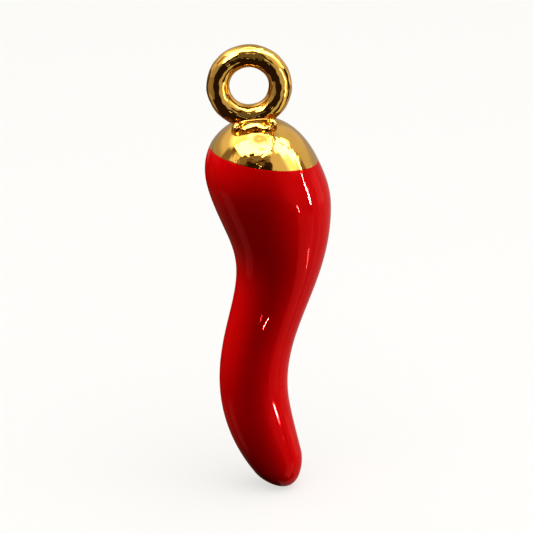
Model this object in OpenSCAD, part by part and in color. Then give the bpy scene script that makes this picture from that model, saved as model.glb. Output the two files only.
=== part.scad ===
/* [Horn] */
// Height of the horn from the top of its crown to its tip
horn_h = 42.9; // [36:0.1:56]
// Diameter that the size column of the section table is a share of
horn_d = 13.6; // [11:0.1:17]
// Sideways swing that the side column of the section table is a share of
sway = 3; // [0:0.1:4]
// Height of the domed crown, down to the horn's widest place
crown_h = 7.7; // [6.6:0.1:10]
// Height of the rounded end
tip_h = 2.9; // [2:0.1:5]

/* [Cap] */
// Drop from the crown's top to the middle of the slanted border of the gold
cap_h = 3.95; // [3.2:0.05:6]
// Wall of the cap
cap_wall = 0.8; // [0.5:0.05:1.2]

/* [Ring] */
// Clear hole of the hanging ring
eye_d = 4.25; // [3:0.05:8]
// Thickness of the ring's wire
wire_d = 2.5; // [2.1:0.05:3.2]
// Distance that the ring stands to the left of the pole of the crown
eye_shift = 2; // [0.5:0.05:3]
// Depth that the foot of the wire lies below the crown's top
wire_sunk = 0.95; // [0.6:0.05:1]

/* [Collar] */
// Width of the collar, over its rounded corners
collar_w = 5.1; // [4:0.1:6]
// Reach of the collar in front of the wire and behind it
collar_reach = 1.4; // [1:0.05:1.8]
// Distance of the collar's middle to the right of the ring's middle
collar_shift = 0.55; // [0:0.05:1]
// Thickness of the collar's flat over the top of the crown
flat_t = 0.14; // [0.1:0.01:0.4]
// Slope of the collar, with its left end lower, in degrees
collar_lean = 7; // [0:0.5:12]
// Thickness of the rounded corners, the collar's feet
foot_d = 1; // [0.9:0.02:1.2]
// Thickness of the rolls between the feet
roll_d = 0.84; // [0.6:0.02:0.86]
// Distance that the rolls lie inside the line of the feet
roll_inset = 0.05; // [0.03:0.01:0.1]

/* [Peg] */
// Diameter of the peg under the collar
peg_d = 1.6; // [1.2:0.1:2.2]
// Depth of the peg's end below the crown's top
peg_depth = 6; // [4:0.5:9]
// Space left under the peg in its blind hole
peg_spare = 0.3; // [0.1:0.05:0.6]

/* [Fit] */
// Gap between the pieces where they fit over or into each other
seam = 0.05; // [0.03:0.01:0.1]
// Gap between the dome and the hollow under the collar
seat_gap = 0.06; // [0.05:0.01:0.12]

/* [Hidden] */

RED = [0.72, 0.01, 0.02];
GOLD = [0.86, 0.66, 0.25];

// Facets round the horn and the cap, and steps down their skins
SIDES = 48;
CROWN_STEPS = 9;
BODY_STEPS = 40;
TIP_STEPS = 6;

// Facets round the ring, round the sphere of its seat, and round all that is smaller
RING_FN = 96;
SEAT_FN = 128;
SMALL_FN = 48;

// Control sections of the horn, a row for each twelfth of its height, and one row past each end.
// The skin is eased between the rows. Side is the section's middle to the right of the crown's pole,
// size its diameter, and tilt the slope of its plane in degrees, with its right side higher.
SIDE = 0;
SIZE = 1;
TILT = 2;
SECTIONS = [
    // side, size, tilt
    [0.12, 1.00, -9],
    [0.00, 1.00, -9],
    [-0.17, 1.00, -9],
    [-0.10, 0.99, -3],
    [0.36, 0.90, 13],
    [0.47, 0.775, 1],
    [0.35, 0.65, -11],
    [0.04, 0.58, -16],
    [-0.31, 0.56, -14],
    [-0.53, 0.56, -5],
    [-0.53, 0.555, 7],
    [-0.25, 0.535, 18],
    [0.24, 0.46, 25],
    [0.87, 0.31, 27],
    [1.40, 0.26, 28]
];

// The origin is the middle of the ring's eye, and the eye looks along Y
wire_r = (eye_d + wire_d) / 2;
crown_x = eye_shift;
crown_z = wire_sunk - wire_r - wire_d / 2;

// The cap seats over a smaller crown on the horn, and both end at the border
core_inset = cap_wall + seam;
cap_rim = cap_h - seam / 2;
shoulder = cap_h + seam / 2;

// The dome's highest point lies to the side of its pole, because its sections are tilted.
// Round that point the dome is near a sphere of seat_r.
seat_r = pow(horn_d / 2, 2) / crown_h;
pole_tilt = eased(TILT, 0);
top_x = crown_x + seat_r * sin(pole_tilt);
top_z = crown_z + seat_r / 2 * pow(sin(pole_tilt), 2);

// The collar's flat lies just over the top of the crown, a little lower than the tops of its rolls
flat_step = 0.02;
flat_h = roll_d - 2 * flat_step;
flat_top = top_z + seat_gap + flat_t;
collar_z = flat_top - flat_h / 2;
collar_l = wire_d + 2 * collar_reach;
roll_y = collar_l / 2 - roll_inset - roll_d / 2;
roll_x = collar_w / 2 - roll_inset - roll_d / 2;
foot_y = (collar_l - foot_d) / 2;
foot_x = (collar_w - foot_d) / 2;

// Value of a column at a share t of the horn's height, eased over four control rows
function eased(column, t) =
    let (
        spans = len(SECTIONS) - 3,
        i = max(0, min(floor(t * spans), spans - 1)),
        f = t * spans - i,
        c = [for (k = [0:3]) SECTIONS[i + k][column]]
    )
    (pow(1 - f, 3) * c[0]
        + (3 * pow(f, 3) - 6 * pow(f, 2) + 4) * c[1]
        + (-3 * pow(f, 3) + 3 * pow(f, 2) + 3 * f + 1) * c[2]
        + pow(f, 3) * c[3]) / 6;

// Middle of the section that lies down from the crown's top
function middle(down) = [crown_x + sway * eased(SIDE, down / horn_h), 0, crown_z - down];

// Radius of that section, for a skin that is set in from the surface
function radius(down, inset) =
    let (
        full = horn_d / 2 * eased(SIZE, down / horn_h) - inset,
        up = max(0, (crown_h - down) / (crown_h - inset)),
        low = max(0, (down - horn_h + tip_h) / tip_h)
    )
    full * sqrt(max(0, 1 - up * up)) * sqrt(max(0, 1 - low * low));

// Points round that section, in its tilted plane
function section(down, inset = 0) =
    let (
        m = middle(down),
        r = radius(down, inset),
        lean = eased(TILT, down / horn_h)
    )
    [for (k = [0:SIDES - 1])
        let (a = 360 * k / SIDES)
        m + r * [cos(a) * cos(lean), sin(a), cos(a) * sin(lean)]];

// Depths of the sections of a dome, at even angles from its top to its bottom
function dome_depths(inset, bottom) =
    let (turn = acos((crown_h - bottom) / (crown_h - inset)))
    [for (k = [1:CROWN_STEPS]) crown_h - (crown_h - inset) * cos(turn * k / CROWN_STEPS)];

// Sections of a dome, from its top down
function dome(inset, bottom) = [for (down = dome_depths(inset, bottom)) section(down, inset)];

// Closed solid through sections of SIDES points each, with a point at either end
module skin(start, sections, end) {
    count = len(sections);
    last = 1 + count * SIDES;
    points = concat([start], [for (s = sections) each s], [end]);
    first_fan = [for (k = [0:SIDES - 1]) [0, 1 + k, 1 + (k + 1) % SIDES]];
    last_fan = [for (k = [0:SIDES - 1])
        [last, 1 + (count - 1) * SIDES + (k + 1) % SIDES, 1 + (count - 1) * SIDES + k]];
    walls = [for (i = [0:count - 2], k = [0:SIDES - 1])
        let (
            a = 1 + i * SIDES + k,
            b = 1 + i * SIDES + (k + 1) % SIDES
        )
        each [[a, a + SIDES, b], [b, a + SIDES, b + SIDES]]];
    polyhedron(points, concat(first_fan, walls, last_fan));
}

// Round bar from the collar's flat down to a depth below the crown's top
module peg(diameter, depth) {
    translate([collar_shift, 0, crown_z - depth])
        cylinder(d = diameter, h = flat_top - crown_z + depth, $fn = SMALL_FN);
}

// Hole that clears the peg
module peg_hole(depth) {
    peg(peg_d + 2 * seam, depth);
}

// Red body: the small crown under the cap, the shoulder at the border, the curved horn and its tip
module horn() {
    body_end = horn_h - tip_h;
    body = [for (k = [0:BODY_STEPS])
        section(shoulder + (body_end - shoulder) * k / BODY_STEPS)];
    tip = [for (k = [1:TIP_STEPS - 1]) section(body_end + tip_h * sin(90 * k / TIP_STEPS))];
    color(RED)
        difference() {
            skin(middle(core_inset), concat(dome(core_inset, shoulder), body, tip), middle(horn_h));
            peg_hole(peg_depth + peg_spare);
        }
}

// Gold dome: the outer skin down to its rim, and the inner skin back up
module cap() {
    outer = dome(0, cap_rim);
    inner = dome(cap_wall, cap_rim);
    inner_up = [for (k = [CROWN_STEPS - 1:-1:0]) inner[k]];
    color(GOLD)
        difference() {
            skin(middle(0), concat(outer, inner_up), middle(cap_wall));
            peg_hole(core_inset + cap_wall);
        }
}

// Ring of round wire, upright in the plane of the horn
module wire() {
    rotate([90, 0, 0])
        rotate_extrude($fn = RING_FN)
            translate([wire_r, 0]) circle(d = wire_d, $fn = SMALL_FN);
}

// Cushion round the foot of the wire: four round feet, four rolls between them, and a flat
module collar() {
    translate([collar_shift, 0, collar_z])
        rotate([0, -collar_lean, 0]) {
            cube([2 * roll_x, 2 * roll_y, flat_h], center = true);
            for (side = [-1, 1]) {
                translate([-foot_x, side * roll_y, 0])
                    rotate([0, 90, 0]) cylinder(d = roll_d, h = 2 * foot_x, $fn = SMALL_FN);
                translate([side * roll_x, foot_y, 0])
                    rotate([90, 0, 0]) cylinder(d = roll_d, h = 2 * foot_y, $fn = SMALL_FN);
                for (end = [-1, 1])
                    translate([side * foot_x, end * foot_y, 0]) sphere(d = foot_d, $fn = SMALL_FN);
            }
        }
}

// One casting: the ring and its collar, cut to sit on the cap, and the hidden peg
module ring() {
    color(GOLD)
        union() {
            difference() {
                union() {
                    wire();
                    collar();
                }
                translate([top_x, 0, top_z - seat_r]) sphere(r = seat_r + seat_gap, $fn = SEAT_FN);
            }
            peg(peg_d, peg_depth);
        }
}

horn();
cap();
ring();
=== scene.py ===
"""Looks of the cornicello horn pendant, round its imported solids: red glaze, gold cap and hanging ring."""

import math

import bpy
import numpy as np
from mathutils import Matrix, Vector


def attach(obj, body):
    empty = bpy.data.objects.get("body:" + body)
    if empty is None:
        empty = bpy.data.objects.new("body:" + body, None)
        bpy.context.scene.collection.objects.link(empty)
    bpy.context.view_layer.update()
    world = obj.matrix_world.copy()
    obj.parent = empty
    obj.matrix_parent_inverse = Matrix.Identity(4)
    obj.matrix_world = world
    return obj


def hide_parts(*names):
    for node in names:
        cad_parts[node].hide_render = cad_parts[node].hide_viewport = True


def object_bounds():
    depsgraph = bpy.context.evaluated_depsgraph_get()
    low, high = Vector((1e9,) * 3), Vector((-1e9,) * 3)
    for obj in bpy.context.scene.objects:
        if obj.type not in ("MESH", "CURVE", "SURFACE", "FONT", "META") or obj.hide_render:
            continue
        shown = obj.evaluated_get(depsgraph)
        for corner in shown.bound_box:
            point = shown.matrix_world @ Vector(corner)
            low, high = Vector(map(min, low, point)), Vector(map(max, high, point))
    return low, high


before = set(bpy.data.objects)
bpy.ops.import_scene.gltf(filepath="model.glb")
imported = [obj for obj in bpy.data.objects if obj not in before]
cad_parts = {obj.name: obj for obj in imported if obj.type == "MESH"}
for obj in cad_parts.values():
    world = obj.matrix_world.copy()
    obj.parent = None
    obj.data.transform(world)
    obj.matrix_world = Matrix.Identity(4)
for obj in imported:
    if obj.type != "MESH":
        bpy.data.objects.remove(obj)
cad_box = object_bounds()

MM = 0.001

# Sizes of the solids, in millimetres
HORN_H = 42.9
HORN_D = 13.6
SWAY = 3.0
CROWN_H = 7.7
TIP_H = 2.9
CAP_H = 3.95
CAP_WALL = 0.8
EYE_D = 4.25
WIRE_D = 2.5
EYE_SHIFT = 2.0
WIRE_SUNK = 0.95
COLLAR_REACH = 1.4
COLLAR_SHIFT = 0.55
FLAT_T = 0.14
COLLAR_LEAN = math.radians(7)
ROLL_D = 0.84
PEG_D = 1.6
PEG_DEPTH = 6.0
SEAM = 0.05
SEAT_GAP = 0.06
FLAT_STEP = 0.02

# Control sections of the horn: side, size and tilt in degrees, a row for each twelfth of its height
SIDE, SIZE, TILT = 0, 1, 2
SECTIONS = np.array([
    # side, size, tilt
    [0.12, 1.00, -9],
    [0.00, 1.00, -9],
    [-0.17, 1.00, -9],
    [-0.10, 0.99, -3],
    [0.36, 0.90, 13],
    [0.47, 0.775, 1],
    [0.35, 0.65, -11],
    [0.04, 0.58, -16],
    [-0.31, 0.56, -14],
    [-0.53, 0.56, -5],
    [-0.53, 0.555, 7],
    [-0.25, 0.535, 18],
    [0.24, 0.46, 25],
    [0.87, 0.31, 27],
    [1.40, 0.26, 28],
])

# Unevenness of the cast ring: size of the lumps, their height, and a shift
LUMPS = [
    (3.1, 0.030, 0.9),
    (1.3, 0.010, 2.3),
]
# Dents in the ring: place, reach and depth
DENTS = [
    ((1.38, -0.67, 4.21), 0.14, 0.08),
    ((-2.28, -0.89, -3.59), 0.30, 0.07),
]

# Collar, in its own leaning frame. The sides slope in towards the top, through the lower edge given here,
# and their front is waved.
SKIRT_SLOPE = math.radians(38.5)
SKIRT_X = 2.0
SKIRT_Y = 2.5
SKIRT_Z = -0.3
WAVE_H = 0.05
WAVE_L = 1.75
WAVE_SHIFT = 0.7
# The flatter shoulder over the sloping front, and the height of the collar's top
SHOULDER_SLOPE = math.radians(52)
SHOULDER_Y = 2.17
SHOULDER_Z = 0.05
PAD_TOP = 0.3
# Bounds of the collar past its lower edge, and of the space over it in which it is worked out
SKIRT_SPARE = 0.1
PAD_BOTTOM = -1.0
NEAR_COLLAR_TOP = 1.4
# Lobes at the collar's corners: place, half width, half height, the lean outwards on the way down, and how
# much lower the two behind are
LOBE_X = 2.0
LOBE_Y = 1.74
LOBE_R = 0.37
LOBE_HALF_H = 0.44
LOBE_LEAN = 0.35
LOBE_BACK_DROP = 0.25
# Blob of solder at the right front corner of the collar
BLOB_AT = (1.45, -2.35, -0.40)
BLOB_R = 0.34
# How far the rounding of each edge and joint reaches
SHOULDER_ROUNDING = 0.1
CORNER_ROUNDING = 0.9
TOP_ROUNDING = 0.2
LOBE_ROUNDING = 0.16
BLOB_ROUNDING = 0.25
WIRE_ROUNDING = 0.2
SEAT_ROUNDING = 0.16
PEG_ROUNDING = 0.04

# Wrinkles in the gold on the front of the dome: the places that each runs through, its half width and height
WRINKLES = [
    ([(2.58, -2.6, -4.45), (2.64, -3.33, -4.85), (2.50, -3.8, -5.16), (2.60, -4.17, -5.49),
      (2.42, -4.56, -5.83)], 0.085, 0.060),
    ([(2.10, -2.7, -4.40), (1.93, -3.41, -4.73), (2.15, -3.79, -5.05)], 0.06, 0.040),
    ([(2.90, -3.12, -4.80), (3.22, -3.28, -5.04)], 0.06, 0.035),
    ([(3.26, -3.60, -5.29), (3.76, -3.65, -5.60)], 0.06, 0.040),
    ([(4.09, -3.61, -5.79), (4.29, -3.73, -6.03)], 0.06, 0.035),
    ([(4.72, -3.46, -6.16), (4.95, -3.56, -6.47)], 0.06, 0.030),
    ([(-1.20, -3.90, -5.57), (-0.98, -3.66, -5.26), (-0.43, -3.65, -5.04), (-0.01, -3.64, -4.92)],
     0.06, 0.018),
    ([(1.07, -4.62, -5.68), (1.38, -4.70, -5.77), (1.60, -4.57, -5.66)], 0.06, 0.025),
    ([(1.65, -3.98, -5.11), (1.92, -4.04, -5.20), (2.09, -4.11, -5.30)], 0.05, 0.035),
    ([(1.51, -3.02, -4.43), (1.62, -3.15, -4.52)], 0.07, 0.045),
    ([(2.66, -3.86, -5.25), (2.81, -3.97, -5.40)], 0.06, 0.045),
    ([(2.55, -3.20, -4.73), (2.77, -3.53, -5.03)], 0.13, 0.08),
    ([(3.06, -3.18, -4.90), (3.25, -3.15, -4.96)], 0.06, 0.045),
    ([(3.97, -3.04, -5.28), (4.07, -3.22, -5.47)], 0.05, 0.035),
    ([(0.16, -4.98, -6.20), (0.47, -4.97, -6.13)], 0.1, 0.05),
    ([(5.33, -3.58, -6.91), (5.44, -3.88, -7.35)], 0.08, 0.04),
]
# Height of a wrinkle from which the painted shade in it is at its darkest
FULL_PAINTED_SHADE_H = 0.05

# Border between the gold and the red: depth of the two edges from the border of the solids, thickness of the
# gold over the red, and the rounding of each edge
HORN_EDGE_DROP = 0.008
CAP_EDGE_RISE = 0.004
GOLD_PROUD = 0.012
HORN_LIP = 0.012
CAP_LIP = 0.03
# Set-in of the row between the small crown and the horn's lip
LEDGE_INSET = 0.2

# Fineness of the meshes
HORN_SIDES = 200
BODY_STEPS = 220
TIP_ROWS = 24
HIDDEN_ROWS = 24
CAP_ROWS = 150
# The front of the cap, where the wrinkles are, has more of the sides
FRONT_HALF = math.radians(52)
FRONT_SIDES = 310
BACK_SIDES = 140
RING_STEP = 0.06

# Derived places, as in the solids
wire_r = (EYE_D + WIRE_D) / 2
crown_x = EYE_SHIFT
crown_z = WIRE_SUNK - wire_r - WIRE_D / 2
core_inset = CAP_WALL + SEAM
seat_r = (HORN_D / 2) ** 2 / CROWN_H
pole_tilt = math.radians(SECTIONS[0:3, TILT] @ [1, 4, 1] / 6)
rise = math.sin(pole_tilt)
dome_top = np.array([crown_x + seat_r * rise, 0, crown_z + seat_r / 2 * rise ** 2])
flat_h = ROLL_D - 2 * FLAT_STEP
flat_top = dome_top[2] + SEAT_GAP + FLAT_T


# Form of the horn

def eased(column, t):
    """Value of a column at shares t of the horn's height, eased over four control rows."""
    spans = len(SECTIONS) - 3
    i = np.clip(np.floor(t * spans).astype(int), 0, spans - 1)
    f = t * spans - i
    c = SECTIONS[:, column]
    return ((1 - f) ** 3 * c[i]
            + (3 * f ** 3 - 6 * f ** 2 + 4) * c[i + 1]
            + (-3 * f ** 3 + 3 * f ** 2 + 3 * f + 1) * c[i + 2]
            + f ** 3 * c[i + 3]) / 6


def middle(down):
    """Middle of the sections that lie down from the crown's top."""
    return np.stack([crown_x + SWAY * eased(SIDE, down / HORN_H), 0 * down, crown_z - down], -1)


def radius(down, inset):
    full = HORN_D / 2 * eased(SIZE, down / HORN_H) - inset
    up = np.clip((CROWN_H - down) / (CROWN_H - inset), 0, 1)
    low = np.clip((down - HORN_H + TIP_H) / TIP_H, 0, 1)
    return full * np.sqrt(1 - up ** 2) * np.sqrt(1 - low ** 2)


def rings(down, inset, a):
    """Points at the angles a round the sections at depths down, set in from the surface."""
    down = np.asarray(down, float)
    inset = np.asarray(inset, float) + 0 * down
    lean = np.radians(eased(TILT, down / HORN_H))[:, None]
    round_x, round_y = np.cos(a)[None], np.sin(a)[None]
    along = np.stack([round_x * np.cos(lean), round_y + 0 * lean, round_x * np.sin(lean)], -1)
    return middle(down)[:, None] + radius(down, inset)[:, None, None] * along


def dome_depths(inset, bottom, steps):
    """Depths of the sections of a dome, at even angles from its top to its bottom."""
    turn = math.acos((CROWN_H - bottom) / (CROWN_H - inset))
    return CROWN_H - (CROWN_H - inset) * np.cos(turn * np.arange(1, steps + 1) / steps)


# Meshes

def piece(name, verts, faces, slot, node, normals=None):
    """A smooth mesh object in millimetres made into a piece that stands for a CAD node."""
    mesh = bpy.data.meshes.new(name)
    mesh.from_pydata((np.asarray(verts) * MM).tolist(), [], faces)
    mesh.validate()
    mesh.polygons.foreach_set("use_smooth", [True] * len(mesh.polygons))
    if normals is not None:
        mesh.normals_split_custom_set_from_vertices(normals.tolist())
    obj = bpy.data.objects.new(name, mesh)
    bpy.context.scene.collection.objects.link(obj)
    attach(obj, "root")
    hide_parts(node)
    return obj


def skin(start, rows, end):
    """Vertices and faces of a closed skin through rows of points, with a point at either end."""
    count, sides = rows.shape[:2]
    verts = np.concatenate([[start], rows.reshape(-1, 3), [end]])
    last = 1 + count * sides
    faces = [(0, 1 + k, 1 + (k + 1) % sides) for k in range(sides)]
    for i in range(count - 1):
        for k in range(sides):
            a, b = 1 + i * sides + k, 1 + i * sides + (k + 1) % sides
            faces.append((a, a + sides, b + sides, b))
    low = 1 + (count - 1) * sides
    faces += [(last, low + (k + 1) % sides, low + k) for k in range(sides)]
    return verts, faces


def horn_mesh():
    """The core crown under the cap, a small rounded shoulder at the border, the curved body and its tip."""
    shoulder = CAP_H + HORN_EDGE_DROP
    body_end = HORN_H - TIP_H
    core = dome_depths(core_inset, shoulder, HIDDEN_ROWS)
    turns = np.radians([0, 30, 60, 90])
    lip = shoulder + HORN_LIP * (1 - np.cos(turns))
    lip_inset = HORN_LIP * (1 - np.sin(turns))
    body = np.linspace(lip[-1], body_end, BODY_STEPS)[1:]
    tip = body_end + TIP_H * np.sin(np.radians(90 * np.arange(1, TIP_ROWS) / TIP_ROWS))
    down = np.concatenate([core, [shoulder], lip, body, tip])
    inset = np.concatenate([0 * core + core_inset, [LEDGE_INSET], lip_inset, 0 * body, 0 * tip])
    rows = rings(down, inset, np.linspace(0, 2 * math.pi, HORN_SIDES, endpoint=False))
    return skin(middle(np.array(core_inset)), rows, middle(np.array(HORN_H)))


def distance_to_path(p, path):
    """Distance from points to the nearest leg of a path."""
    nearest = np.full(p.shape[:-1], np.inf)
    for start, end in zip(path[:-1], path[1:]):
        along = end - start
        t = np.clip(((p - start) @ along) / (along @ along), 0, 1)
        nearest = np.minimum(nearest, np.linalg.norm(p - start - t[..., None] * along, axis=-1))
    return nearest


def with_relief(rows):
    """The cap's outer rows, raised along the wrinkles, and the share of painted shade of a wrinkle at each
    point.
    """
    height, fold_shade = np.zeros(rows.shape[:-1]), np.zeros(rows.shape[:-1])
    for path, half_width, wrinkle_h in WRINKLES:
        share = np.exp(-(distance_to_path(rows, np.array(path)) / half_width) ** 2)
        height = np.maximum(height, wrinkle_h * share)
        # Painted shade: fullest where a wrinkle stands high
        fold_shade = np.maximum(fold_shade, share * min(1, wrinkle_h / FULL_PAINTED_SHADE_H))
    outward = rows - np.array([crown_x, 0, crown_z - CROWN_H])
    outward = outward / np.linalg.norm(outward, axis=-1, keepdims=True)
    return rows + height[..., None] * outward, fold_shade


def cap_mesh():
    """The gold dome, proud of the red by its plating, with a rounded rim, and its inner skin."""
    rim = CAP_H - CAP_EDGE_RISE
    outer = dome_depths(0, rim - CAP_LIP, CAP_ROWS)
    turns = np.radians([15, 30, 45, 60, 75, 90])
    lip = rim - CAP_LIP + CAP_LIP * np.sin(turns)
    lip_inset = CAP_LIP * (1 - np.cos(turns)) - GOLD_PROUD
    inner = dome_depths(CAP_WALL, rim, HIDDEN_ROWS)[::-1]
    front_from, front_to = 1.5 * math.pi - FRONT_HALF, 1.5 * math.pi + FRONT_HALF
    front = np.linspace(front_from, front_to, FRONT_SIDES, endpoint=False)
    around = np.linspace(front_to, front_from + 2 * math.pi, BACK_SIDES, endpoint=False)
    sides = np.concatenate([front, around])
    outside, fold_shade = with_relief(rings(outer, -GOLD_PROUD, sides))
    rest = rings(np.concatenate([lip, inner]), np.concatenate([lip_inset, 0 * inner + CAP_WALL]), sides)
    rows = np.concatenate([outside, rest])
    fold_shades = np.zeros(rows.shape[0] * rows.shape[1] + 2)
    fold_shades[1:1 + fold_shade.size] = fold_shade.ravel()
    verts, faces = skin(middle(np.array(0.0)) + [0, 0, GOLD_PROUD], rows, middle(np.array(CAP_WALL)))
    return verts, faces, fold_shades


# Ring and collar, as a field of distances: below zero inside the metal

def rounded_min(a, b, reach):
    """The lower of two fields, blended into a fillet where they are within reach of each other."""
    h = np.clip(reach - np.abs(a - b), 0, None) / reach
    return np.minimum(a, b) - h * h * reach / 4


def rounded_max(a, b, reach):
    return -rounded_min(-a, -b, reach)


def lumps(p):
    """Slight unevenness of the cast metal, in millimetres."""
    height = 0
    for size, depth, shift in LUMPS:
        k = 2 * math.pi / size
        x, y, z = (k * p[..., i] + shift * (i + 1) for i in range(3))
        height = height + depth * np.sin(x) * np.sin(y) * np.sin(z)
    return height


def dents(p):
    """Depth of the small dents in the ring."""
    return sum(depth * np.exp(-((p - np.array(at)) ** 2).sum(-1) / reach ** 2)
               for at, reach, depth in DENTS)


def wire_field(p):
    across = np.hypot(p[..., 0], p[..., 2]) - wire_r
    return np.hypot(across, p[..., 1]) - WIRE_D / 2 + lumps(p) + dents(p)


def sloped(depth, z, slope, edge, low):
    """Distance to a side face that leans in by slope, through the depth edge at the height low."""
    return math.cos(slope) * (depth - edge) + math.sin(slope) * (z - low)


def cushion_field(q):
    """The collar in its own frame: a pad with sloping, waved sides, a lobe at each corner, and the blob."""
    x, y, z = q[..., 0], q[..., 1], q[..., 2]
    wave = WAVE_H * np.cos(2 * math.pi * (x + WAVE_SHIFT) / WAVE_L)
    skirt = sloped(np.abs(y) - wave, z, SKIRT_SLOPE, SKIRT_Y, SKIRT_Z)
    shoulder = sloped(np.abs(y), z, SHOULDER_SLOPE, SHOULDER_Y, SHOULDER_Z)
    flank = sloped(np.abs(x), z, SKIRT_SLOPE, SKIRT_X, SKIRT_Z)
    pad = rounded_max(rounded_max(skirt, shoulder, SHOULDER_ROUNDING), flank, CORNER_ROUNDING)
    pad = rounded_max(pad, z - PAD_TOP, TOP_ROUNDING)
    sides = rounded_max(np.abs(x) - SKIRT_X - SKIRT_SPARE, np.abs(y) - SKIRT_Y - SKIRT_SPARE, CORNER_ROUNDING)
    pad = np.maximum(np.maximum(pad, sides), PAD_BOTTOM - z)
    u = np.abs(x) - LOBE_X + LOBE_LEAN * z
    v = np.abs(y) - LOBE_Y + LOBE_LEAN * z
    w = z + LOBE_BACK_DROP * (y > 0)
    lobes = (np.sqrt((u ** 2 + v ** 2) / LOBE_R ** 2 + (w / LOBE_HALF_H) ** 2) - 1) * LOBE_R
    pad = rounded_min(pad, lobes, LOBE_ROUNDING)
    blob = np.linalg.norm(q - np.array(BLOB_AT), axis=-1) - BLOB_R
    return rounded_min(pad, blob, BLOB_ROUNDING)


def ring_field(p):
    """The wire and the collar, cut to sit on the dome, and the peg."""
    # Points in the collar's own frame, which leans down to the left
    q = p - np.array([COLLAR_SHIFT, 0, flat_top - flat_h / 2])
    c, s = math.cos(COLLAR_LEAN), math.sin(COLLAR_LEAN)
    q = np.stack([c * q[..., 0] + s * q[..., 2], q[..., 1], -s * q[..., 0] + c * q[..., 2]], -1)
    casting = wire_field(p)
    low = q[..., 2] < NEAR_COLLAR_TOP
    casting[low] = rounded_min(casting[low], cushion_field(q[low]) + lumps(p[low]), WIRE_ROUNDING)
    seat = np.linalg.norm(p - (dome_top - [0, 0, seat_r]), axis=-1) - seat_r - SEAT_GAP
    casting = rounded_max(casting, -seat, SEAT_ROUNDING)
    peg_low, peg_high = crown_z - PEG_DEPTH, flat_top
    peg = np.maximum(np.hypot(p[..., 0] - COLLAR_SHIFT, p[..., 1]) - PEG_D / 2,
                     np.abs(p[..., 2] - (peg_high + peg_low) / 2) - (peg_high - peg_low) / 2)
    return rounded_min(casting, peg, PEG_ROUNDING)


# Share of a grid step over which the field's slope is taken, rounds of moving points onto the surface, and
# the least slope squared that a move is worked out with
NUDGE_SHARE = 0.02
ROUNDS = 6
LEAST_STEEPNESS = 0.25


def filled_grid(field, axes):
    """Which points of a grid lie inside the field."""
    inside = np.empty([len(a) for a in axes], bool)
    for i, x in enumerate(axes[0]):
        y, z = np.meshgrid(axes[1], axes[2], indexing="ij")
        inside[i] = field(np.stack([x + 0 * y, y, z], -1)) < 0
    return inside


def grid_quads(inside, number):
    """A quad between the four cells round each grid edge that goes through the surface."""
    quads = []
    for axis in range(3):
        du, dv = np.eye(3, dtype=int)[(axis + 1) % 3], np.eye(3, dtype=int)[(axis + 2) % 3]
        first = inside.take(range(inside.shape[axis] - 1), axis)
        second = inside.take(range(1, inside.shape[axis]), axis)
        for leaving in (True, False):
            at = np.argwhere((first & ~second) if leaving else (~first & second))
            loop = [at - du - dv, at - dv, at, at - du]
            loop = loop if leaving else loop[::-1]
            quads.append(np.stack([number[tuple(c.T)] for c in loop], -1))
    return np.concatenate(quads).tolist()


def surface_of(field, low, high, step):
    """Vertices, quads and normals where a field is zero, with a vertex in each cell that is crossed."""
    axes = [np.arange(a, b + step, step) for a, b in zip(low, high)]
    nx, ny, nz = (len(a) for a in axes)
    inside = filled_grid(field, axes)
    corners = [inside[i:nx - 1 + i, j:ny - 1 + j, k:nz - 1 + k]
               for i in (0, 1) for j in (0, 1) for k in (0, 1)]
    filled = sum(c.astype(np.int8) for c in corners)
    cells = np.argwhere((filled > 0) & (filled < 8))
    number = np.full((nx - 1, ny - 1, nz - 1), -1)
    number[tuple(cells.T)] = np.arange(len(cells))
    # The cells' middles are moved onto the surface along the field's slope
    verts = np.array(low) + (cells + 0.5) * step
    nudge = step * NUDGE_SHARE
    for _ in range(ROUNDS):
        value = field(verts)
        slope = np.stack([(field(verts + e) - field(verts - e)) / (2 * nudge) for e in np.eye(3) * nudge], -1)
        steepness = np.clip((slope ** 2).sum(-1), LEAST_STEEPNESS, None)
        verts = verts - np.clip(value / steepness, -step, step)[:, None] * slope
    return verts, grid_quads(inside, number), slope / np.linalg.norm(slope, axis=-1, keepdims=True)


def ring_mesh():
    margin = 3 * RING_STEP
    low = [-wire_r - WIRE_D / 2 - margin, -WIRE_D / 2 - COLLAR_REACH - margin, crown_z - PEG_DEPTH - margin]
    high = [wire_r + WIRE_D / 2 + margin, WIRE_D / 2 + COLLAR_REACH + margin, wire_r + WIRE_D / 2 + margin]
    return surface_of(ring_field, low, high, RING_STEP)


# Materials

# Colours
GLAZE_DEEP = (0.68, 0.0, 0.0008)
GLAZE_BRIGHT = (0.72, 0.0006, 0.0015)
GLAZE_MIRROR_TINT = (1.0, 0.4, 0.35)
GOLD_DEEP = (0.92, 0.50, 0.085)
GOLD_BRIGHT = (0.97, 0.55, 0.11)
# Painted shade: the dark colour that the cap's gold is blended to along its wrinkles, where shade falls
FOLD_PAINTED_SHADE = (0.12, 0.05, 0.01)
# A share of metal tints what the glaze mirrors red, as in the photo, but for the brightest lamps
GLAZE_METAL = 0.12
GLAZE_MIRROR = 0.06
# Roughness, from its smoothest to its roughest places
GLAZE_ROUGH = (0.02, 0.045)
GOLD_ROUGH = (0.04, 0.08)
# Range of the noise that the colours and the roughness are spread over
NOISE_RANGE = (0.3, 0.7)
# Bumps of each surface, in millimetres: size and depth, and for those in one place only that place, how far
# they are full and where they have gone
GLAZE_BUMP = (6.0, 0.01)
RING_BUMPS = [
    # size, depth
    (1.5, 0.03),
    (0.5, 0.003),
]
CAP_BUMPS = [
    # size, depth, place, full, gone
    (2.2, 0.02, None, 0, 0),
    (0.75, 0.07, (1.2, -5.6, -7.1), 0.9, 2.0),
    (0.6, 0.05, (2.4, -3.7, -5.1), 0.3, 1.3),
    (0.55, 0.04, (-1.0, -4.9, -6.9), 0.5, 1.5),
]


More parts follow.
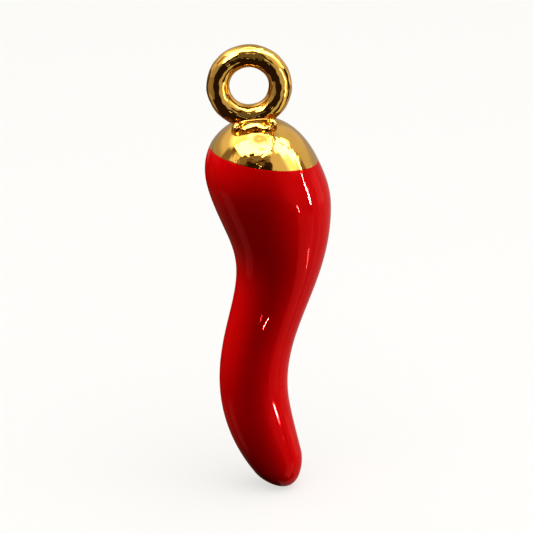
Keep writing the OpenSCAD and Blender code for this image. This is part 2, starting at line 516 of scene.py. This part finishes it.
def material(name):
    mat = bpy.data.materials.new(name)
    mat.use_nodes = True
    tree = mat.node_tree
    shader = next(n for n in tree.nodes if n.type == "BSDF_PRINCIPLED")
    place = tree.nodes.new("ShaderNodeTexCoord").outputs["Object"]
    return mat, tree, shader, place


def noise(tree, place, size_mm, detail=2.0):
    """Noise with lumps of about that size."""
    node = tree.nodes.new("ShaderNodeTexNoise")
    node.inputs["Scale"].default_value = 1 / (size_mm * MM)
    node.inputs["Detail"].default_value = detail
    tree.links.new(place, node.inputs["Vector"])
    return node.outputs["Fac"]


def mapped(tree, value, low, high, out_low, out_high):
    node = tree.nodes.new("ShaderNodeMapRange")
    node.interpolation_type = "SMOOTHSTEP"
    for key, v in zip(("From Min", "From Max", "To Min", "To Max"), (low, high, out_low, out_high)):
        node.inputs[key].default_value = v
    tree.links.new(value, node.inputs["Value"])
    return node.outputs["Result"]


def spread_over(tree, value, low, high):
    """Noise spread over the range from low to high."""
    return mapped(tree, value, *NOISE_RANGE, low, high)


def blended(tree, share, first, second):
    """Colour that goes from first to second with share. Each is a colour or a socket."""
    node = tree.nodes.new("ShaderNodeMix")
    node.data_type = "RGBA"
    tree.links.new(share, node.inputs["Factor"])
    for key, colour in (("A", first), ("B", second)):
        if isinstance(colour, tuple):
            node.inputs[key].default_value = (*colour, 1)
        else:
            tree.links.new(colour, node.inputs[key])
    return node.outputs["Result"]


def bumped(tree, height, depth_mm, under=None):
    node = tree.nodes.new("ShaderNodeBump")
    node.inputs["Distance"].default_value = depth_mm * MM
    tree.links.new(height, node.inputs["Height"])
    if under is not None:
        tree.links.new(under, node.inputs["Normal"])
    return node.outputs["Normal"]


def near(tree, place, middle_mm, inner_mm, outer_mm):
    """Share that is 1 near a point of the object and 0 away from it."""
    node = tree.nodes.new("ShaderNodeVectorMath")
    node.operation = "DISTANCE"
    node.inputs[1].default_value = [v * MM for v in middle_mm]
    tree.links.new(place, node.inputs[0])
    return mapped(tree, node.outputs["Value"], inner_mm * MM, outer_mm * MM, 1, 0)


def product(tree, first, second):
    node = tree.nodes.new("ShaderNodeMath")
    node.operation = "MULTIPLY"
    tree.links.new(first, node.inputs[0])
    tree.links.new(second, node.inputs[1])
    return node.outputs[0]


def red_glaze():
    mat, tree, shader, place = material("red_glaze")
    tint = spread_over(tree, noise(tree, place, 7.0), 0, 1)
    tree.links.new(blended(tree, tint, GLAZE_DEEP, GLAZE_BRIGHT), shader.inputs["Base Color"])
    rough = spread_over(tree, noise(tree, place, 1.2), *GLAZE_ROUGH)
    tree.links.new(rough, shader.inputs["Roughness"])
    size, depth = GLAZE_BUMP
    tree.links.new(bumped(tree, noise(tree, place, size, 1.0), depth), shader.inputs["Normal"])
    shader.inputs["Metallic"].default_value = GLAZE_METAL
    shader.inputs["Specular IOR Level"].default_value = GLAZE_MIRROR
    shader.inputs["Specular Tint"].default_value = (*GLAZE_MIRROR_TINT, 1)
    return mat


def gold_metal(name):
    """Polished gold, with its colour as a socket so that painted shade can darken it."""
    mat, tree, shader, place = material(name)
    tint = spread_over(tree, noise(tree, place, 2.5), 0, 1)
    colour = blended(tree, tint, GOLD_DEEP, GOLD_BRIGHT)
    rough = spread_over(tree, noise(tree, place, 0.8), *GOLD_ROUGH)
    tree.links.new(rough, shader.inputs["Roughness"])
    shader.inputs["Metallic"].default_value = 1.0
    return mat, tree, shader, place, colour


def ring_gold():
    mat, tree, shader, place, colour = gold_metal("ring_gold")
    tree.links.new(colour, shader.inputs["Base Color"])
    normal = None
    for size, depth in RING_BUMPS:
        normal = bumped(tree, noise(tree, place, size), depth, under=normal)
    tree.links.new(normal, shader.inputs["Normal"])
    return mat


def cap_gold():
    """Smooth at the sides of the dome, crinkled over its front, and darkened by painted shade in its
    wrinkles.
    """
    mat, tree, shader, place, colour = gold_metal("cap_gold")
    normal = None
    for size, depth, at, full, gone in CAP_BUMPS:
        height = noise(tree, place, size)
        if at is not None:
            height = product(tree, height, near(tree, place, at, full, gone))
        normal = bumped(tree, height, depth, under=normal)
    tree.links.new(normal, shader.inputs["Normal"])
    # Painted shade: the gold's colour goes towards a dark brown along the wrinkles
    fold_shades = tree.nodes.new("ShaderNodeAttribute")
    fold_shades.attribute_name = "fold_shade"
    tree.links.new(blended(tree, fold_shades.outputs["Fac"], colour, FOLD_PAINTED_SHADE), shader.inputs["Base Color"])
    return mat


# Studio

# Camera: it looks at the middle of the photo's frame from 400 mm away, 19.5 degrees above
AIM = Vector((1.8737, 0, -20.7015)) * MM
CAMERA_UP = math.radians(19.5)
CAMERA_AWAY = 400 * MM
FRAME_PX = 533
FOCAL_PX = 3640
SENSOR_MM = 36
CLIP_START = 0.01


def direction(azimuth, elevation):
    """Unit vector from the object. Azimuth 0 points to the camera's side and 90 to its right, in degrees."""
    a, e = math.radians(azimuth), math.radians(elevation)
    return Vector((math.sin(a) * math.cos(e), -math.cos(a) * math.cos(e), math.sin(e)))


def make_camera():
    data = bpy.data.cameras.new("camera")
    data.sensor_width = SENSOR_MM
    data.lens = SENSOR_MM * FOCAL_PX / FRAME_PX
    data.clip_start = CLIP_START
    cam = bpy.data.objects.new("camera", data)
    bpy.context.scene.collection.objects.link(cam)
    cam.location = AIM + direction(0, math.degrees(CAMERA_UP)) * CAMERA_AWAY
    cam.rotation_euler = (math.pi / 2 - CAMERA_UP, 0, 0)
    bpy.context.scene.camera = cam


def area_light(name, at, ends, width, brightness, away, spread=180):
    """A lamp that lies from one direction to another as seen from a place, and faces that place.

    The place and the distance are in millimetres, the directions and the width in degrees. A narrow
    spread is a grid before the lamp, so that it is seen only near the place."""
    at = Vector(at) * MM
    first, last = (at + direction(*end) * away * MM for end in ends)
    center = (first + last) / 2
    data = bpy.data.lights.new(name, "AREA")
    data.shape = "RECTANGLE"
    data.size = 2 * away * MM * math.tan(math.radians(width) / 2)
    data.size_y = (last - first).length
    data.spread = math.radians(spread)
    cone = 1.0 if spread == 180 else math.radians(spread / 2) ** 2 / 3
    data.energy = brightness * math.pi * data.size * data.size_y * cone
    lamp = bpy.data.objects.new(name, data)
    bpy.context.scene.collection.objects.link(lamp)
    outward = (center - at).normalized()
    along = (last - first).normalized()
    across = along.cross(outward)
    lamp.location = center
    lamp.rotation_euler = Matrix((across, along, outward)).transposed().to_euler()
    lamp.visible_camera = False
    return lamp


def shines_on(lamp, objects):
    """The lamp lights these objects alone, and all objects shade it."""
    group = bpy.data.collections.new(lamp.name + "_lights")
    for obj in objects:
        group.objects.link(obj)
    lamp.light_linking.receiver_collection = group


# Softboxes that bring out the colour of the horn
SOFT_AWAY = 1200
SOFT_WIDTH = 28
SOFTBOXES = [
    # name, azimuth, elevation, brightness
    ("left_softbox", -100, 50, 15.5),
    ("right_softbox", 90, 12, 11.0),
    ("front_softbox", 20, 30, 4.4),
]
# Softboxes over the floor alone
FLOOR_SOFTBOXES = [
    # name, azimuth, elevation from and to, width, brightness
    ("floor_softbox_right", 40, 30, 100, 70, 1.8),
    ("floor_softbox_left", -70, 45, 115, 80, 1.0),
]
# Strips that the glaze mirrors
STRIPS = [
    # name, place on the glaze, direction of both ends, width, brightness
    ("right_strip_top", (5.75, -4.66, -8.9), [(88.8, 17.2), (85.8, 9.5)], 1.3, 600),
    ("right_strip", (6.36, -4.85, -10.8), [(85.8, 9.8), (84.6, -13)], 3.2, 600),
]
# Gridded lamps in a row, for highlights that show in one place only: the place and the direction of the first
# lamp and of the last
SPOT_AWAY = 200
SPOTS = [
    # name, first place and direction, last place and direction, number, width, spread, brightness
    ("middle_spots", (2.00, -3.98, -25.4), (-2.4, -28.4), (1.60, -3.91, -26.4), (-6.4, -25.0),
     3, 1.4, 1.4, 4500),
    ("low_spots", (2.66, -3.11, -35.8), (66.9, -17.7), (3.08, -2.93, -37.2), (73.2, -13.9),
     8, 1.2, 0.8, 8000),
    ("dash_spots", (5.2, -5.8, -11.9), (55.8, -19.4), (5.4, -5.7, -12.4), (57.0, -21.4),
     3, 1.2, 1.4, 1200),
    ("faint_spot", (1.3, -3.9, -25.2), (-24.3, -22.6), (1.2, -3.9, -25.6), (-23.0, -22.0),
     2, 1.4, 2.6, 60),
    ("side_spots", (6.44, -4.42, -17.1), (79.5, -34.7), (6.28, -4.00, -19.2), (84.3, -39.3),
     6, 0.7, 1.4, 300),
]
# Panels that the ring alone or the horn alone mirrors
PANEL_AWAY = 300
RING_AT = (0, 0, 0)
RING_PANELS = [
    # name, azimuth from and to, elevation from and to, brightness
    ("ring_upper_left", -60, -26, 27, 50, 8.0),
    ("ring_front", -18, 18, 2, 46, 0.12),
    ("ring_left", -112, -48, -32, 1, 0.20),
    ("ring_side_left", -112, -48, 1, 24, 0.34),
    ("ring_gold_line", 11, 31, -42, 12, 0.5),
    ("ring_right_line", 53, 59, -25, 12, 8.0),
    ("ring_glint", -3, 3, -8.5, -6.5, 1.5),
]
HORN_AT = (2.5, 0, -22)
HORN_PANELS = [
    # name, azimuth from and to, elevation from and to, brightness
    ("horn_right", 86, 106, -46, 20, 0.45),
]


def light_colours(pieces, floor):
    """The softboxes, which show in no reflection."""
    middle_of_frame = tuple(AIM / MM)
    for name, azimuth, elevation, brightness in SOFTBOXES:
        ends = [(azimuth, elevation - SOFT_WIDTH / 2), (azimuth, elevation + SOFT_WIDTH / 2)]
        lamp = area_light(name, middle_of_frame, ends, SOFT_WIDTH, brightness, SOFT_AWAY)
        lamp.visible_glossy = False
        shines_on(lamp, pieces)
    for name, azimuth, el0, el1, width, brightness in FLOOR_SOFTBOXES:
        ends = [(azimuth, el0), (azimuth, el1)]
        lamp = area_light(name, middle_of_frame, ends, width, brightness, SOFT_AWAY)
        lamp.visible_glossy = False
        shines_on(lamp, [floor])


def light_reflections(horn, ring):
    """The strips, panels and gridded lamps, which show in reflections alone."""
    for name, at, ends, width, brightness in STRIPS:
        lamp = area_light(name, at, ends, width, brightness, PANEL_AWAY)
        lamp.visible_diffuse = False
        shines_on(lamp, [horn])
    for panels, at, lit in ((RING_PANELS, RING_AT, ring), (HORN_PANELS, HORN_AT, horn)):
        for name, az0, az1, el0, el1, brightness in panels:
            ends = [((az0 + az1) / 2, el0), ((az0 + az1) / 2, el1)]
            width = (az1 - az0) * math.cos(math.radians((el0 + el1) / 2))
            lamp = area_light(name, at, ends, width, brightness, PANEL_AWAY)
            lamp.visible_diffuse = False
            shines_on(lamp, [lit])
    for name, start, start_toward, end, end_toward, count, width, spread, brightness in SPOTS:
        for k in range(count):
            share = k / (count - 1)
            at = Vector(start).lerp(Vector(end), share)
            azimuth, elevation = Vector(start_toward).lerp(Vector(end_toward), share)
            ends = [(azimuth, elevation - width / 2), (azimuth, elevation + width / 2)]
            lamp = area_light(f"{name}_{k + 1}", at, ends, width, brightness, SPOT_AWAY, spread)
            lamp.visible_diffuse = False


# The floor glows evenly where the camera sees it, and takes a little light that the horn can shade
PAPER_WHITE = (1.0, 0.985, 0.95)
FLOOR_GLOW = 0.67
FLOOR_GREY = (0.3, 0.3, 0.3)
FLOOR_HALF = 3.0
FLOOR_DROP = 0.0001


def make_floor():
    h, z = FLOOR_HALF, cad_box[0].z - FLOOR_DROP
    mesh = bpy.data.meshes.new("floor")
    mesh.from_pydata([(-h, -h, z), (h, -h, z), (h, h, z), (-h, h, z)], [], [(0, 1, 2, 3)])
    floor = bpy.data.objects.new("floor", mesh)
    bpy.context.scene.collection.objects.link(floor)
    mat, tree, shader, place = material("floor_paper")
    shader.inputs["Base Color"].default_value = (*FLOOR_GREY, 1)
    shader.inputs["Roughness"].default_value = 0.9
    shader.inputs["Specular IOR Level"].default_value = 0.0
    shader.inputs["Emission Color"].default_value = (*PAPER_WHITE, 1)
    seen = tree.nodes.new("ShaderNodeLightPath").outputs["Is Camera Ray"]
    tree.links.new(mapped(tree, seen, 0, 1, 0, FLOOR_GLOW), shader.inputs["Emission Strength"])
    mesh.materials.append(mat)
    floor.visible_glossy = False
    floor.visible_diffuse = False
    return floor


# The light tent that the glaze and the gold mirror, over an even dark level: from and to azimuth, from and
# to elevation, softness of the edges, all in degrees, and the brightness. Later rows cover earlier ones.
TENT_LEVEL = 0.02
TENT = [
    # az from, az to, el from, el to, soft, level
    (106, 200, -90, 75, 4, 0.42),
    (106, 158, 8, 56, 6, 0.68),
    (-200, -98, 2, 75, 6, 0.42),
    (-160, -98, 22, 75, 7, 0.80),
    (-200, -142, -10, 4, 4, 0.36),
    (-200, -106, -50, -26, 6, 0.15),
    (-106, -80, -50, -26, 3, 0.4),
    (-130, -60, -24, 0, 8, 0.12),
    (-98, -80, 14, 44, 4, 0.24),
    (-80, -56, 23, 46, 4, 1.05),
    (-56, -38, 28, 50, 5, 0.26),
    (-40, 36, 46, 60, 6, 0.28),
    (32, 78, -20, 34, 7, 0.6),
    (44, 62, -20, 34, 4, 0.85),
    (52, 88, -60, -19, 3, 0.85),
    (37, 94, 22, 60, 4, 0.75),
    (66, 94, 20, 42, 6, 1.8),
    (106, 126, -12, 8, 1.5, 1.0),
    (97, 106, 15, 28, 1.5, 0.25),
    (-136, -92, 42, 90, 6, 1.9),
    (-92, -52, 49, 90, 2.5, 8.0),
    (-56, -38, 54, 90, 2.5, 8.0),
    (-44, 60, 60, 90, 2.5, 8.0),
    (57, 118, 54, 90, 3, 8.0),
    (68, 118, 42, 60, 4, 8.0),
    (84, 102, 29, 46, 3, 8.0),
    (-200, 200, 72, 90, 3, 6.0),
    (-200, 200, 79, 90, 3, 1.3),
]
# Thin lamps in the tent: azimuth and elevation of both ends, half width, brightness
STREAKS = [
    (100, 33, 92, 16, 1.3, 14),
    (-5, 38, 5, 38, 1.2, 3),
]
STREAK_EDGE = 0.35
# Tones of the tent from its dark parts to its bright ones, and the levels between which they change
DARK_TONE = (1.0, 0.55, 0.28)
BRIGHT_TONE = (1.0, 0.97, 0.92)
TONE_FROM, TONE_TO = 0.04, 0.4
# What the camera itself sees past the floor
BACKDROP = (1, 0.99, 0.965)
BACKDROP_LEVEL = 0.98
# Gold that mirrors gold stays deep: the brightest that the tent shows once two surfaces have been met, when
# the ray depth passes this number
TWICE_LEVEL = 0.25
TWICE_DEPTH = 2.5


def make_world():
    world = bpy.data.worlds.new("studio")
    world.use_nodes = True
    bpy.context.scene.world = world
    world.cycles_visibility.diffuse = False
    tree = world.node_tree
    tree.nodes.clear()

    def math_node(kind, *values):
        node = tree.nodes.new("ShaderNodeMath")
        node.operation = kind
        for socket, v in zip(node.inputs, values):
            if isinstance(v, (int, float)):
                socket.default_value = v
            else:
                tree.links.new(v, socket)
        return node.outputs[0]

    def window(angle, low, high, soft):
        rising = mapped(tree, angle, low - soft, low + soft, 0, 1)
        falling = mapped(tree, angle, high - soft, high + soft, 1, 0)
        return math_node("MULTIPLY", rising, falling)

    def covered(level, mask, bright):
        kept = math_node("MULTIPLY", level, math_node("SUBTRACT", 1.0, mask))
        return math_node("ADD", kept, math_node("MULTIPLY", mask, bright))

    def streak(az0, el0, az1, el1, half_width):
        """Share that is 1 along a line between two directions."""
        long = math.hypot(az1 - az0, el1 - el0)
        u, v = (az1 - az0) / long, (el1 - el0) / long
        from_az, from_el = math_node("SUBTRACT", azimuth, az0), math_node("SUBTRACT", elevation, el0)
        along = math_node("ADD", math_node("MULTIPLY", from_az, u), math_node("MULTIPLY", from_el, v))
        across = math_node("ADD", math_node("MULTIPLY", from_az, -v), math_node("MULTIPLY", from_el, u))
        edge = half_width * STREAK_EDGE
        over_width = window(across, -half_width, half_width, edge)
        return math_node("MULTIPLY", window(along, 0, long, edge), over_width)

    split = tree.nodes.new("ShaderNodeSeparateXYZ")
    tree.links.new(tree.nodes.new("ShaderNodeTexCoord").outputs["Generated"], split.inputs[0])
    x, y, z = split.outputs
    azimuth = math_node("DEGREES", math_node("ARCTAN2", x, math_node("MULTIPLY", y, -1.0)))
    elevation = math_node("DEGREES", math_node("ARCSINE", z))
    level = TENT_LEVEL
    for az0, az1, el0, el1, soft, bright in TENT:
        mask = math_node("MULTIPLY", window(azimuth, az0, az1, soft), window(elevation, el0, el1, soft))
        level = covered(level, mask, bright)
    for az0, el0, az1, el1, half_width, bright in STREAKS:
        level = covered(level, streak(az0, el0, az1, el1, half_width), bright)
    path = tree.nodes.new("ShaderNodeLightPath")
    twice = math_node("GREATER_THAN", path.outputs["Ray Depth"], TWICE_DEPTH)
    level = covered(level, twice, math_node("MINIMUM", level, TWICE_LEVEL))
    seen = path.outputs["Is Camera Ray"]
    tent_tone = blended(tree, mapped(tree, level, TONE_FROM, TONE_TO, 0, 1), DARK_TONE, BRIGHT_TONE)
    back = tree.nodes.new("ShaderNodeBackground")
    tree.links.new(blended(tree, seen, tent_tone, BACKDROP), back.inputs["Color"])
    tree.links.new(covered(level, seen, BACKDROP_LEVEL), back.inputs["Strength"])
    tree.links.new(back.outputs[0], tree.nodes.new("ShaderNodeOutputWorld").inputs["Surface"])


make_camera()
make_world()
floor = make_floor()

horn = piece("red_horn", *horn_mesh(), "red_glaze", "horn")
horn.data.materials.append(red_glaze())
cap_verts, cap_faces, cap_fold_shades = cap_mesh()
cap = piece("gold_cap", cap_verts, cap_faces, "gold", "cap")
# Share of painted shade along the cap's wrinkles, kept on its points
cap.data.attributes.new("fold_shade", "FLOAT", "POINT").data.foreach_set("value", cap_fold_shades.tolist())
cap.data.materials.append(cap_gold())
ring_verts, ring_faces, ring_normals = ring_mesh()
ring = piece("gold_ring", ring_verts, ring_faces, "gold", "ring", ring_normals)
ring.data.materials.append(ring_gold())
light_colours([horn, cap, ring], floor)
light_reflections(horn, ring)

scene = bpy.context.scene
scene.view_settings.view_transform = "Standard"
scene.view_settings.look = "None"
